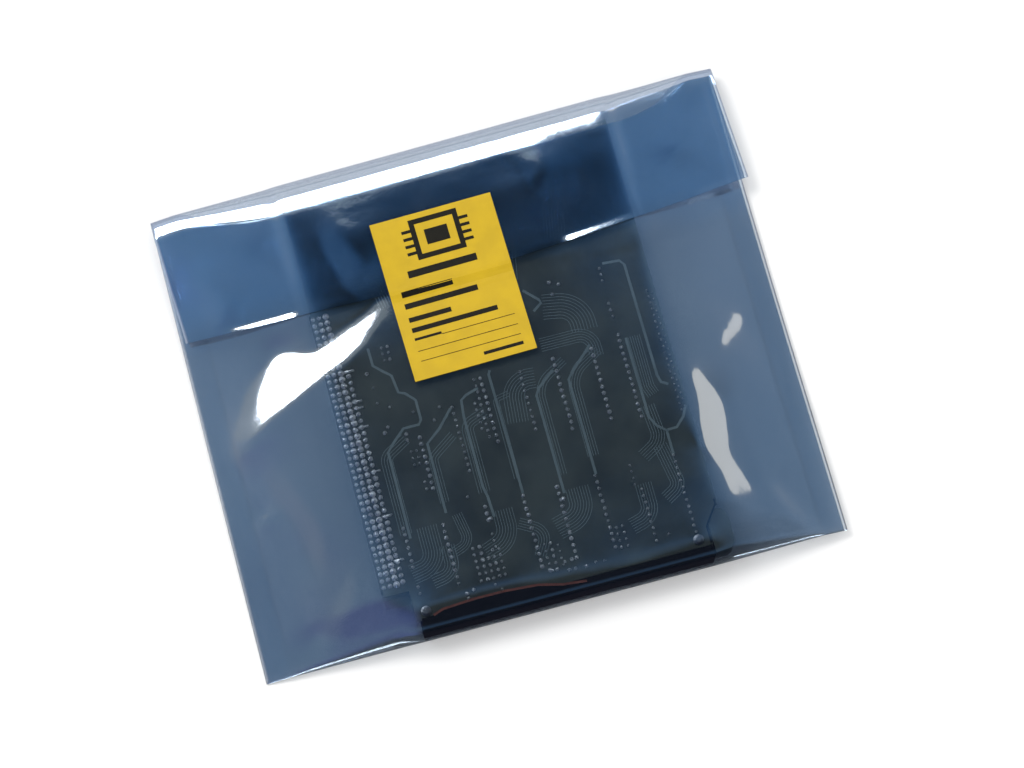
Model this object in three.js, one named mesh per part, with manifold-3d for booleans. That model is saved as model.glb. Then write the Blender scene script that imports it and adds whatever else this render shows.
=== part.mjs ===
// Static shielding bag with a circuit board sealed inside it, lying flat with its mouth folded over.
// Millimetres. +Z is up from the table, +Y runs from the bag's bottom fold to its top fold,
// +X across the side seals. The origin lies on the table under the middle of the bag.
import * as THREE from 'three';
import Module from 'manifold-3d';
import { mergeVertices } from 'three/addons/utils/BufferGeometryUtils.js';

const wasm = await Module();
wasm.setup();

// Bag
const bagWidth = 224; // across both side seals, drawn in a little by the board inside
const film = 0.15; // thickness of one layer
const layerGap = 0.35; // air between two layers that lie on each other
const sealWidth = 9.6; // heat seal along each side
const sealLean = 0.18; // slope of the seals, down towards their cut edge
const topRoom = 9.1; // from the board's end to the outside of the top fold, on the centre line
const topFoldSlope = 0.0228; // the top fold runs slightly skew
const flapLength = 49.6; // top fold to the flap's free edge, at the seals
const mouthSlope = 0.035;
const mouthBow = 6; // how far the free edge hangs lower in the middle
const rollDepth = 15.5; // half depth of the rounded top fold over the board
const rollDepthAtSeals = 8.5;
const frontTurnInset = 2; // how far the front layer's own fold passes the roll's centre
const heel = 1.3; // half depth of the bottom fold where the contents fill it
const leftHeel = 4.2; // the same on the slack film left of the front bar
const rightHeel = 2.6;
const foldHeight = 3.5; // height of the bottom crease in front of the contents
const sealLift = 3.4; // height of the side seals over the table, half way along
const leftCornerLift = 2.2; // the same at the bottom corners
const rightCornerLift = 5.6;
const topCornerLift = 4.4; // the same where the seals enter the top fold
const flapLiftLeft = 8; // height of the flap's seals at the free edge
const flapLiftRight = 10;
const flapLiftAtRoll = 10.8;
const shoulderRadius = 1.3; // rounding of the film over the board's long edges
const waveHeight = 0.9; // slack waves on the film beside the board
const waveLength = 52;

// Circuit board and what it carries, component side down
const clearance = 0.3; // between pieces that touch
const boardWidth = 128.5;
const boardLength = 171;
const boardThickness = 1.6;
const boardCentreX = 2.25;
const leadLength = 1.1; // lead ends standing out of the solder side
const notchWidth = 9.5; // cut-out in the left bottom corner
const notchLength = 12;
const bevelWidth = 5.5; // slanted cut in the right bottom corner
const bevelLength = 7.5;
const bevelOffset = 8; // straight edge below the slanted cut
const pitch = 2.54; // spacing of the leads
const connectorRows = 4;
const connectorPins = 42;
const connectorHeight = 10.55;
const connectorWall = 1.2;
const connectorFloor = 2.5;
const connectorInset = 3.4; // from the board's notch to the connector's end
const barDepth = 4.05;
const barLip = 0.6; // how far the bar rises above the board
const barWall = 1.6;
const barOverhang = 1.2; // how far the bar stops short of the board's notch
const lugWidth = 9;
const lugLength = 5.9;
const lugThickness = 2.2;
const screwHeadRadius = 2;
const screwHeadHeight = 0.6;
const screwRadius = 1.4;
const screwHoleClearance = 0.4;
const screwFromEnd = 3; // screw axis to the board's end
const leverSetback = 1.3; // the lever's end lies behind the bar's face
const leverWidth = 8;
const leverLength = 16;
const leverBelowTop = 0.1; // how far the lever stays under the board's upper side
const leverRound = 3.6;
const packageHeight = 4;
const packageStandOff = 0.7;
const packageDraft = 0.45;
const packageNotch = 1.3;
const packageOverhang = 1.6; // body past the last lead at each end
const rowToBody = 0.85; // from a row of leads to the body's side
const leadWidth = 1.2;
const leadThickness = 0.3;
const leadRoot = 0.08; // lowest point of a lead's root over the package's waist
const wideRow = 15.24; // distance between the two rows of leads
const capacitorRadius = 3.2;
const capacitorThickness = 2.2;
const capacitorStandOff = 1;
const capacitorLead = 0.6;
const chipFromConnector = 2.1;
const chipFromEdge = 2.8; // from the board's right edge

// Label
const labelWidth = 47.6;
const labelLength = 63.5;
const labelThickness = 0.12;
const labelX = -7.2;
const labelDrop = 10.1; // centre of the label below the height of the free edge at the seals
const labelTurn = 1.375; // degrees
const labelStep = 4; // length over which it steps down off the flap's edge

// Heights of the stack
const contentsBase = film + clearance;
const boardBottom = contentsBase + connectorHeight + clearance;
const boardTop = boardBottom + boardThickness;
const frontTop = boardTop + leadLength + clearance + film;

// Places along the bag: the bar fills the bottom fold, and the board follows it
const barFace = heel + film + clearance;
const boardStart = barFace + barDepth + clearance;
const bagLength = boardStart + boardLength + topRoom;
const bottomY = -bagLength / 2;
const boardStartY = bottomY + boardStart;
const boardEndY = boardStartY + boardLength;
const mouthAtSides = bagLength / 2 - flapLength;

// Edges that the film stands over
const sealX = bagWidth / 2 - sealWidth;
const boardLeft = boardCentreX - boardWidth / 2;
const boardRight = boardCentreX + boardWidth / 2;
const notchY = boardStartY + notchLength;
const bevelY = boardStartY + bevelOffset;
const leverLeft = boardRight - bevelWidth + clearance;
const leverStartY = bottomY + barFace + leverSetback;
const leverEndY = leverStartY + leverLength;

const lerp = (a, b, t) => a + (b - a) * t;
const clamp = (t) => Math.min(1, Math.max(0, t));
const smooth = (t) => clamp(t) ** 2 * (3 - 2 * clamp(t));
const radians = (degrees) => (degrees * Math.PI) / 180;

// Turns a list of points and triangles into a three.js geometry
function meshGeometry(points, triangles) {
  const geometry = new THREE.BufferGeometry();
  geometry.setAttribute('position', new THREE.Float32BufferAttribute(points.flat(), 3));
  geometry.setIndex(triangles.flat());
  geometry.computeVertexNormals();
  return geometry;
}

function toSolid(geometry) {
  const bare = geometry.clone();
  bare.deleteAttribute('normal');
  bare.deleteAttribute('uv');
  const merged = mergeVertices(bare, 1e-4);
  const vertProperties = Float32Array.from(merged.attributes.position.array);
  const triVerts = Uint32Array.from(merged.index.array);
  return new wasm.Manifold(new wasm.Mesh({ numProp: 3, vertProperties, triVerts }));
}

function toGeometry(solid) {
  const mesh = solid.getMesh();
  const geometry = new THREE.BufferGeometry();
  geometry.setAttribute('position', new THREE.Float32BufferAttribute(mesh.vertProperties, 3));
  geometry.setIndex(Array.from(mesh.triVerts));
  geometry.computeVertexNormals();
  return geometry;
}

// How far a point across the bag is from the board's edge to the side seal, 0 to 1, and how far
// the seal has dropped at that point
function towardsSeal(x, left = boardLeft, right = boardRight, shift = 0) {
  const past = x > (left + right) / 2 ? x - right : left - x;
  const room = x > (left + right) / 2 ? sealX + shift - right : left + sealX - shift;
  return { past, room, share: clamp(past / room), drop: sealLean * Math.max(0, past - room) };
}

// The film is held up by the bar and the lever at the bottom end, and by the board beyond them
function supportEdges(y) {
  const left = lerp(boardLeft + notchWidth, boardLeft, smooth((y - notchY) / notchLength + 1));
  const right = lerp(leverLeft + leverWidth, boardRight, smooth((y - leverEndY) / bevelLength));
  return { left, right };
}

// Height of the side seals' mid-plane over the table
function sealHeight(x, y) {
  const along = (y - bottomY) / bagLength;
  const corner = x < 0 ? leftCornerLift : rightCornerLift;
  const low = lerp(corner, sealLift, smooth(along * 2));
  return lerp(low, topCornerLift, smooth(along * 2 - 1));
}

function flapSealHeight(x, y) {
  const edge = x < 0 ? flapLiftLeft : flapLiftRight;
  return lerp(edge, flapLiftAtRoll, smooth((y - mouthAtSides) / (bagLength / 2 - mouthAtSides)));
}

// A straight fall from the board's edge to the seal, rounded over the edge
function tent(past, room, top, end) {
  const round = (u) => (u + Math.hypot(u, 2 * shoulderRadius)) / 2;
  return top - ((top - end) * round(past)) / round(room);
}

const topFoldY = (x) => bagLength / 2 + topFoldSlope * x;
const mouthY = (x) => mouthAtSides + mouthSlope * x - mouthBow * (1 - (x / sealX) ** 2);
const rollShare = (x) => smooth(towardsSeal(x).share);
const rollAxisY = (x) => topFoldY(x) - lerp(rollDepth, rollDepthAtSeals, rollShare(x));

// Slack waves, strongest half way between the board and the seal
function slack(x, y, share) {
  const phase = (x < 0 ? 0.15 : 0.55) + 0.35 * share;
  return waveHeight * 4 * share * (1 - share) * Math.sin(2 * Math.PI * (y / waveLength + phase));
}

// Upper side of the front layer
function frontHeight(x, y) {
  const { left, right } = supportEdges(y);
  const side = towardsSeal(x, left, right);
  const end = sealHeight(x, y) + film;
  if (side.past >= side.room) return end - side.drop;
  return tent(side.past, side.room, frontTop, end) + slack(x, y, side.share);
}

// Under side of the back layer, flat on the table below the contents
function backHeight(x, y) {
  const { share, drop } = towardsSeal(x);
  return (sealHeight(x, y) - film) * share ** 2 - drop;
}

// Under side of the flap, which is the front layer turned over
function flapUnder(x, y, shift) {
  const side = towardsSeal(x, boardLeft, boardRight, shift);
  const end = flapSealHeight(x, y) - film;
  if (side.past >= side.room) return end - side.drop;
  return tent(side.past, side.room, frontTop + layerGap, end);
}

function flapTop(x, y, shift) {
  const { share } = towardsSeal(x, boardLeft, boardRight, shift);
  return flapUnder(x, y, shift) + 2 * film + layerGap * (1 - share ** 4);
}

// Height and half depth of the bottom fold across the bag
function creaseHeight(x) {
  const { share, drop } = towardsSeal(x, boardLeft + notchWidth, boardRight - bevelWidth);
  return lerp(foldHeight, sealHeight(x, bottomY), smooth(share)) - drop;
}

function heelDepth(x) {
  const { share } = towardsSeal(x, boardLeft + notchWidth, boardRight - bevelWidth);
  const slackHeel = x < 0 ? leftHeel : rightHeel;
  return lerp(heel, slackHeel, smooth(share * 5) * (1 - share));
}

// The two layers as curves along the bag: heel, run, roll and flap, at a place across it.
// The front layer turns in a tight fold over the board and follows the back layer at the seals.
const front = { run: frontHeight, flap: flapUnder, turn: frontTurnInset, half: layerGap / 2, swell: 4 };
const back = { run: backHeight, flap: flapTop, turn: 0, half: rollDepth, swell: 1 };

function layerPoint(layer, x, stage, t) {
  const outside = layer === back ? 1 : -1;
  const startY = bottomY + heelDepth(x);
  const turnY = rollAxisY(x) + layer.turn * (1 - rollShare(x));
  if (stage === 'heel') {
    const angle = (t * Math.PI) / 2;
    const y = lerp(startY, bottomY, Math.cos(angle));
    return [x, y, lerp(creaseHeight(x), layer.run(x, y), Math.sin(angle))];
  }
  if (stage === 'run') {
    const y = lerp(startY, turnY, t);
    return [x, y, layer.run(x, y)];
  }
  if (stage === 'roll') {
    const angle = Math.PI * (t - 0.5);
    const low = layer.run(x, turnY);
    const high = layer.flap(x, turnY, 0);
    const depth = lerp(layer.half, rollDepthAtSeals + outside * film, rollShare(x) ** layer.swell);
    const z = (low + high) / 2 + ((high - low) / 2) * Math.sin(angle);
    return [x, turnY + depth * Math.cos(angle), z];
  }
  const skew = Math.sin(2 * Math.atan(topFoldSlope));
  const shift = skew * (turnY - mouthY(x)) * t;
  const y = lerp(turnY, mouthY(x + shift), t);
  return [x + shift, y, layer.flap(x + shift, y, shift)];
}

const steps = (from, to, count) => Array.from({ length: count }, (_, i) => lerp(from, to, i / count));

const sealSteps = 2;

// Places across the bag, closer together over the board's edges
function filmColumns() {
  const left = boardLeft - 2 * shoulderRadius;
  const right = boardRight + 2 * shoulderRadius;
  return [
    ...steps(-bagWidth / 2, -sealX, sealSteps),
    ...steps(-sealX, left, 5),
    ...steps(left, boardLeft + notchWidth, 3),
    ...steps(boardLeft + notchWidth, boardRight - bevelWidth, 6),
    ...steps(boardRight - bevelWidth, right, 2),
    ...steps(right, sealX, 5),
    ...steps(sealX, bagWidth / 2, sealSteps),
    bagWidth / 2,
  ];
}

// Stations along the bag
function filmStations() {
  const stages = { heel: 4, run: 12, roll: 8, flap: 7 };
  const stations = Object.entries(stages).flatMap(([stage, count]) =>
    steps(0, 1, count).map((t) => ({ stage, t })),
  );
  return [...stations, { stage: 'flap', t: 1 }];
}

// One film: two layers joined along the bottom fold and the two seals, open at the mouth
function bagFilm() {
  const columns = filmColumns();
  const stations = filmStations();
  const last = stations.length - 1;
  const edge = columns.length - 1;
  const sealLeft = sealSteps;
  const sealRight = edge - sealSteps;
  const points = [];
  const triangles = [];
  const add = (p) => points.push(p) - 1;
  const quad = (a, b, c, d) => {
    if (a !== b && b !== c && a !== c) triangles.push([a, b, c]);
    if (a !== c && c !== d && a !== d) triangles.push([a, c, d]);
  };
  const rows = (layer) => stations.map(({ stage, t }) => columns.map((x) => layerPoint(layer, x, stage, t)));
  const outer = { front: rows(front), back: rows(back) };

  // Inner side of a layer: its outer side moved in by the film's thickness
  const inward = (grid, i, j, sign) => {
    const at = (a, b) => new THREE.Vector3(...grid[a][b]);
    const along = at(Math.min(i + 1, last), j).sub(at(Math.max(i - 1, 0), j));
    const across = at(i, Math.min(j + 1, edge)).sub(at(i, Math.max(j - 1, 0)));
    const normal = across.cross(along).normalize().multiplyScalar(-film * sign);
    return at(i, j).add(normal).toArray();
  };
  const middle = (i, j) => outer.front[i][j].map((v, k) => (v + outer.back[i][j][k]) / 2);
  const creaseInside = (j) => outer.front[0][j].map((v, k) => (k === 1 ? v + film : v));
  const creaseAtSeal = (j) => outer.front[0][j].map((v, k) => (v + middle(1, j)[k]) / 2);

  const frontOut = outer.front.map((row) => row.map(add));
  const backOut = outer.back.map((row, i) => (i === 0 ? frontOut[0] : row.map(add)));
  const frontIn = [];
  const backIn = [];
  for (let i = 0; i <= last; i++) {
    frontIn.push([]);
    backIn.push([]);
    for (let j = sealLeft; j <= sealRight; j++) {
      const onSeal = j === sealLeft || j === sealRight;
      if (i === 0) {
        frontIn[i][j] = add(onSeal ? creaseAtSeal(j) : creaseInside(j));
        backIn[i][j] = frontIn[i][j];
      } else if (onSeal) {
        frontIn[i][j] = add(middle(i, j));
        backIn[i][j] = frontIn[i][j];
      } else {
        frontIn[i][j] = add(inward(outer.front, i, j, 1));
        backIn[i][j] = add(inward(outer.back, i, j, -1));
      }
    }
  }

  for (let i = 0; i < last; i++) {
    for (let j = 0; j < edge; j++) {
      quad(frontOut[i][j], frontOut[i][j + 1], frontOut[i + 1][j + 1], frontOut[i + 1][j]);
      quad(backOut[i][j], backOut[i + 1][j], backOut[i + 1][j + 1], backOut[i][j + 1]);
      if (j < sealLeft || j >= sealRight) continue;
      quad(frontIn[i][j], frontIn[i + 1][j], frontIn[i + 1][j + 1], frontIn[i][j + 1]);
      quad(backIn[i][j], backIn[i][j + 1], backIn[i + 1][j + 1], backIn[i + 1][j]);
    }
    quad(backOut[i][0], frontOut[i][0], frontOut[i + 1][0], backOut[i + 1][0]);
    quad(frontOut[i][edge], backOut[i][edge], backOut[i + 1][edge], frontOut[i + 1][edge]);
  }
  for (let j = 0; j < edge; j++) {
    if (j < sealLeft || j >= sealRight) {
      quad(frontOut[last][j], frontOut[last][j + 1], backOut[last][j + 1], backOut[last][j]);
      continue;
    }
    quad(frontOut[last][j], frontOut[last][j + 1], frontIn[last][j + 1], frontIn[last][j]);
    quad(backIn[last][j], backIn[last][j + 1], backOut[last][j + 1], backOut[last][j]);
  }
  triangles.push([frontOut[last][sealLeft], frontIn[last][sealLeft], backOut[last][sealLeft]]);
  triangles.push([frontOut[last][sealRight], backOut[last][sealRight], frontIn[last][sealRight]]);
  return meshGeometry(points, triangles);
}

// A thin sticker that lies half on the flap and half on the bag, stepping down at the free edge
function labelSheet() {
  const acrossSteps = 4;
  const alongSteps = 18;
  const turn = radians(labelTurn);
  const lower = frontTop + clearance;
  const upper = frontTop + layerGap + 2 * film + layerGap + clearance;
  const points = [];
  const triangles = [];
  const spot = (i, j) => {
    const u = (j / acrossSteps - 0.5) * labelWidth;
    const v = (i / alongSteps - 0.5) * labelLength;
    const x = labelX + u * Math.cos(turn) - v * Math.sin(turn);
    const y = mouthAtSides - labelDrop + u * Math.sin(turn) + v * Math.cos(turn);
    const step = smooth((y - mouthY(x) + clearance + labelStep) / labelStep);
    return [x, y, lerp(lower, upper, step)];
  };
  for (let i = 0; i <= alongSteps; i++) {
    for (let j = 0; j <= acrossSteps; j++) {
      const [x, y, z] = spot(i, j);
      points.push([x, y, z], [x, y, z + labelThickness]);
    }
  }
  const at = (i, j, side) => 2 * (i * (acrossSteps + 1) + j) + side;
  const quad = (a, b, c, d) => triangles.push([a, b, c], [a, c, d]);
  for (let i = 0; i < alongSteps; i++) {
    for (let j = 0; j < acrossSteps; j++) {
      quad(at(i, j, 1), at(i, j + 1, 1), at(i + 1, j + 1, 1), at(i + 1, j, 1));
      quad(at(i, j, 0), at(i + 1, j, 0), at(i + 1, j + 1, 0), at(i, j + 1, 0));
    }
    quad(at(i, 0, 0), at(i, 0, 1), at(i + 1, 0, 1), at(i + 1, 0, 0));
    quad(at(i, acrossSteps, 1), at(i, acrossSteps, 0), at(i + 1, acrossSteps, 0), at(i + 1, acrossSteps, 1));
  }
  for (let j = 0; j < acrossSteps; j++) {
    quad(at(0, j, 0), at(0, j + 1, 0), at(0, j + 1, 1), at(0, j, 1));
    quad(at(alongSteps, j, 1), at(alongSteps, j + 1, 1), at(alongSteps, j + 1, 0), at(alongSteps, j, 0));
  }
  return meshGeometry(points, triangles);
}

// An outline in X and Y, pushed up by a height
function plate(outline, height, holes = []) {
  const shape = new THREE.Shape(outline.map(([x, y]) => new THREE.Vector2(x, y)));
  for (const { x, y, radius } of holes) {
    shape.holes.push(new THREE.Path().absarc(x, y, radius, 0, 2 * Math.PI, true));
  }
  return new THREE.ExtrudeGeometry(shape, { depth: height, bevelEnabled: false, curveSegments: 8 });
}

function boxAt(x0, x1, y0, y1, z0, z1) {
  const box = new THREE.BoxGeometry(x1 - x0, y1 - y0, z1 - z0);
  return box.translate((x0 + x1) / 2, (y0 + y1) / 2, (z0 + z1) / 2);
}

// Screws at the two bottom corners hold the front bar's lugs under the board
const barLeft = boardLeft + notchWidth + barOverhang;
const barRight = boardRight - bevelWidth - clearance;
const screwY = boardStartY + screwFromEnd;
const screwSpots = { left: barLeft + lugWidth / 3, right: barRight - lugWidth / 2 };
const holeRadius = screwRadius + screwHoleClearance;
const screwHoles = Object.values(screwSpots).map((x) => ({ x, y: screwY, radius: holeRadius }));

function circuitBoard() {
  const outline = [
    [boardLeft + notchWidth, boardStartY],
    [boardRight - bevelWidth, boardStartY],
    [boardRight - bevelWidth, bevelY],
    [boardRight, bevelY + bevelLength],
    [boardRight, boardEndY],
    [boardLeft, boardEndY],
    [boardLeft, notchY],
    [boardLeft + notchWidth, notchY],
  ];
  return plate(outline, boardThickness, screwHoles).translate(0, 0, boardBottom);
}

const connectorWidth = connectorRows * pitch + 2 * connectorWall - pitch / 2;
const connectorRight = boardLeft - connectorWall / 2 + connectorWidth;

// Long socket along the left edge, open downwards between thin walls
function pinConnector() {
  const length = connectorPins * pitch + 2 * connectorWall;
  const x0 = boardLeft - connectorWall / 2;
  const y0 = notchY + connectorInset;
  const top = contentsBase + connectorHeight;
  const body = toSolid(boxAt(x0, connectorRight, y0, y0 + length, contentsBase, top));
  const trough = boxAt(
    x0 + connectorWall,
    connectorRight - connectorWall,
    y0 + connectorWall,
    y0 + length - connectorWall,
    contentsBase - 1,
    top - connectorFloor,
  );
  return toGeometry(body.subtract(toSolid(trough)));
}

// Channel-shaped bar across the board's bottom end, with a lug under each corner of the board
function frontBar() {
  const y0 = boardStartY - clearance - barDepth;
  const y1 = boardStartY - clearance;
  const top = boardTop + barLip;
  const body = boxAt(barLeft, barRight, y0, y1, contentsBase, top);
  const groove = boxAt(barLeft + barWall, barRight - barWall, y0 + barWall, y1 + 1, contentsBase + barWall, top - barWall * 2);
  let bar = toSolid(body).subtract(toSolid(groove));
  for (const x of Object.values(screwSpots)) {
    const outline = [
      [x - lugWidth / 3, y0 + barWall / 2],
      [x + lugWidth / 2, y0 + barWall / 2],
      [x + lugWidth / 2, y1 + lugLength],
      [x - lugWidth / 3, y1 + lugLength],
    ];
    const lug = plate(outline, lugThickness, [{ x, y: screwY, radius: holeRadius }]);
    bar = bar.add(toSolid(lug.translate(0, 0, boardBottom - clearance - lugThickness)));
  }
  return toGeometry(bar);
}

// Low domed head on the board's upper side, shank down through the lug
function boardScrew(x) {
  const seat = boardTop + clearance;
  const foot = boardBottom - clearance - lugThickness;
  const profile = [
    [0, foot],
    [screwRadius, foot],
    [screwRadius, seat],
    [screwHeadRadius, seat],
    [screwHeadRadius, seat + screwHeadHeight / 3],
    [screwHeadRadius * 0.6, seat + screwHeadHeight * 0.9],
    [0, seat + screwHeadHeight],
  ];
  const lathe = new THREE.LatheGeometry(profile.map(([r, z]) => new THREE.Vector2(r, z)), 12);
  return toGeometry(toSolid(lathe.rotateX(Math.PI / 2).translate(x, screwY, 0)));
}

// Rounded lever beside the bar's right end, nearly as high as the board and following its slanted cut
function cornerLever() {
  const x0 = leverLeft;
  const y0 = leverStartY;
  const height = boardTop - leverBelowTop - contentsBase;
  const slantStartY = bevelY - clearance;
  const slantX = x0 + ((leverEndY - slantStartY) * bevelWidth) / bevelLength;
  const shape = new THREE.Shape();
  shape.moveTo(x0, y0);
  shape.lineTo(x0 + leverWidth - leverRound, y0);
  shape.absarc(x0 + leverWidth - leverRound, y0 + leverRound, leverRound, -Math.PI / 2, 0);
  shape.lineTo(x0 + leverWidth, leverEndY - 2 * leverRound);
  shape.quadraticCurveTo(x0 + leverWidth, leverEndY, slantX, leverEndY);
  shape.lineTo(x0, slantStartY);
  const solid = new THREE.ExtrudeGeometry(shape, { depth: height, bevelEnabled: false, curveSegments: 6 });
  return toGeometry(toSolid(solid.translate(0, 0, contentsBase)));
}

// Chip package hanging under the board: tapered body, end notch and two rows of bent leads
function chipPackage(x, y, pinsPerSide) {
  const top = boardBottom - packageStandOff;
  const bottom = top - packageHeight;
  const half = wideRow / 2 - rowToBody;
  const halfLength = ((pinsPerSide - 1) * pitch) / 2 + packageOverhang;
  const waist = (top + bottom) / 2;
  const section = new THREE.Shape([
    new THREE.Vector2(-half, waist),
    new THREE.Vector2(-half + packageDraft, bottom),
    new THREE.Vector2(half - packageDraft, bottom),
    new THREE.Vector2(half, waist),
    new THREE.Vector2(half - packageDraft, top),
    new THREE.Vector2(-half + packageDraft, top),
  ]);
  const body = new THREE.ExtrudeGeometry(section, { depth: 2 * halfLength, bevelEnabled: false });
  const notch = new THREE.CylinderGeometry(packageNotch, packageNotch, packageHeight / 2, 10);
  notch.rotateX(Math.PI / 2).translate(0, halfLength, bottom);
  let chip = toSolid(body.rotateX(Math.PI / 2).translate(0, halfLength, 0)).subtract(toSolid(notch));
  for (const side of [-1, 1]) {
    const row = (side * wideRow) / 2;
    const root = waist + leadRoot;
    const lead = new THREE.Shape([
      new THREE.Vector2(side * (half - packageDraft), root),
      new THREE.Vector2(row + (side * leadThickness) / 2, root),
      new THREE.Vector2(row + (side * leadThickness) / 2, boardBottom - clearance),
      new THREE.Vector2(row - (side * leadThickness) / 2, boardBottom - clearance),
      new THREE.Vector2(row - (side * leadThickness) / 2, root + leadThickness),
      new THREE.Vector2(side * (half - packageDraft), root + leadThickness),
    ]);
    for (let pin = 0; pin < pinsPerSide; pin++) {
      const strip = new THREE.ExtrudeGeometry(lead, { depth: leadWidth, bevelEnabled: false });
      const place = (pin - (pinsPerSide - 1) / 2) * pitch + leadWidth / 2;
      chip = chip.add(toSolid(strip.rotateX(Math.PI / 2).translate(0, place, 0)));
    }
  }
  return toGeometry(chip.translate([x, y, 0]));
}

// Small rounded disc capacitor standing on two leads, as one dipped piece
function discCapacitor(x, y) {
  const leadTop = boardBottom - clearance;
  const centreZ = leadTop - capacitorStandOff - capacitorRadius;
  const disc = new THREE.CylinderGeometry(capacitorRadius, capacitorRadius, capacitorThickness, 14);
  let part = toSolid(disc.translate(x, y, centreZ));
  for (const side of [-1, 1]) {
    const leadX = x + (side * pitch) / 2;
    const half = capacitorLead / 2;
    const lead = boxAt(leadX - half, leadX + half, y - half, y + half, centreZ, leadTop);
    part = part.add(toSolid(lead));
  }
  return toGeometry(part);
}

// Finishes
const finish = (color, roughness, metalness) => new THREE.MeshStandardMaterial({ color, roughness, metalness });
const filmFinish = finish(0x566b88, 0.18, 0.9);
filmFinish.transparent = true;
filmFinish.opacity = 0.6;
const finishes = {
  film: filmFinish,
  label: finish(0xd8b42e, 0.55, 0),
  board: finish(0x26343a, 0.5, 0),
  black: finish(0x101216, 0.45, 0),
  chip: finish(0x1b1c20, 0.5, 0),
  connector: finish(0x24262b, 0.5, 0),
  screw: finish(0xb9bcc2, 0.3, 1),
  lever: finish(0x2c3633, 0.5, 0),
  capacitor: finish(0x9a6a32, 0.5, 0),
};

const group = new THREE.Group();
function addPiece(name, geometry, material) {
  const mesh = new THREE.Mesh(geometry, material);
  mesh.name = name;
  group.add(mesh);
}

addPiece('bag_film', bagFilm(), finishes.film);
addPiece('label', labelSheet(), finishes.label);
addPiece('circuit_board', circuitBoard(), finishes.board);
addPiece('pin_connector', pinConnector(), finishes.connector);
addPiece('front_bar', frontBar(), finishes.black);
addPiece('corner_lever', cornerLever(), finishes.lever);
for (const [side, x] of Object.entries(screwSpots)) {
  addPiece(`screw_${side}`, boardScrew(x), finishes.screw);
}

// Chips hang in a low row next to the bar and a middle row beyond it. The share runs from the
// leftmost to the rightmost place for a chip, and the rise is measured from the low row.
const lowRowPins = 12;
const lowRowGap = 0.5; // between the lugs and the lowest chips
const lugEndY = boardStartY - clearance + lugLength;
const lowRowY = lugEndY + lowRowGap + ((lowRowPins - 1) * pitch) / 2 + packageOverhang;
const chipHalfWidth = (wideRow + leadThickness) / 2;
const chipLeft = connectorRight + chipFromConnector + chipHalfWidth;
const chipRight = boardRight - chipFromEdge - chipHalfWidth;
const chips = [
  { share: 0, rise: 0, pins: lowRowPins },
  { share: 0.324, rise: 0, pins: lowRowPins },
  { share: 0.612, rise: 0, pins: lowRowPins },
  { share: 0.924, rise: 0, pins: lowRowPins },
  { share: 0.152, rise: 40.3, pins: 12 },
  { share: 0.441, rise: 49.8, pins: 12 },
  { share: 0.731, rise: 48.6, pins: 12 },
  { share: 1, rise: 55.3, pins: 20 },
];
chips.forEach(({ share, rise, pins }, index) => {
  const chip = chipPackage(lerp(chipLeft, chipRight, share), lowRowY + rise, pins);
  addPiece(`chip_${index + 1}`, chip, finishes.chip);
});
const capacitors = [
  { share: 0.02, rise: 67.3 },
  { share: 0.3, rise: 73.3 },
  { share: 0.57, rise: 73.3 },
  { share: 0.84, rise: 85.3 },
];
capacitors.forEach(({ share, rise }, index) => {
  const capacitor = discCapacitor(lerp(chipLeft, chipRight, share), lowRowY + rise);
  addPiece(`capacitor_${index + 1}`, capacitor, finishes.capacitor);
});

export default group;
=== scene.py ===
import math
import random

import bpy
import numpy as np
from mathutils import Matrix, Vector


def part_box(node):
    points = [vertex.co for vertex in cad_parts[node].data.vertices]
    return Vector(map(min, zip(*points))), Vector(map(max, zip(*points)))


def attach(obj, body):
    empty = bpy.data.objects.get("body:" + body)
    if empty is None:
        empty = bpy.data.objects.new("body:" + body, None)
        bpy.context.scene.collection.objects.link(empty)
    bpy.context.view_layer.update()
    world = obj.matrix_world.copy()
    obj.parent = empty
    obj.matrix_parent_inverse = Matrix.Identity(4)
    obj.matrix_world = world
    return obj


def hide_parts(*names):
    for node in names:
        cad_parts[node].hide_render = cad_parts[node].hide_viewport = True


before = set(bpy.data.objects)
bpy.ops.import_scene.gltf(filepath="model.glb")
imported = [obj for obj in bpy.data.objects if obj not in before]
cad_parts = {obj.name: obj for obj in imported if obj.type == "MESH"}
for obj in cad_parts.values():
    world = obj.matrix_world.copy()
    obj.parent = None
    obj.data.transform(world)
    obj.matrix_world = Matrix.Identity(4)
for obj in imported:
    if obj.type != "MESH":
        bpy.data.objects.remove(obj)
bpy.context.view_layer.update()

# All sizes are in millimetres until a mesh is made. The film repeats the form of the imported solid.
MM = 0.001

CLEARANCE = 0.3

# Bag
BAG_WIDTH = 224.0
FILM = 0.15
LAYER_GAP = 0.35
SEAL_WIDTH = 9.6
TOP_ROOM = 9.1
TOP_FOLD_SLOPE = 0.0228
FLAP_LENGTH = 49.6
MOUTH_SLOPE = 0.035
MOUTH_BOW = 6.0
ROLL_DEPTH = 15.5
ROLL_DEPTH_AT_SEALS = 8.5
FRONT_TURN_INSET = 2.0
HEEL = 1.3
LEFT_HEEL = 4.2
RIGHT_HEEL = 2.6
FOLD_HEIGHT = 3.5
SEAL_LIFT = 3.4
LEFT_CORNER_LIFT = 2.2
RIGHT_CORNER_LIFT = 5.6
TOP_CORNER_LIFT = 4.4
FLAP_LIFT_LEFT = 8.0
FLAP_LIFT_RIGHT = 10.0
FLAP_LIFT_AT_ROLL = 10.8
SHOULDER_RADIUS = 1.3
SEAL_LEAN = 0.18

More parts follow.
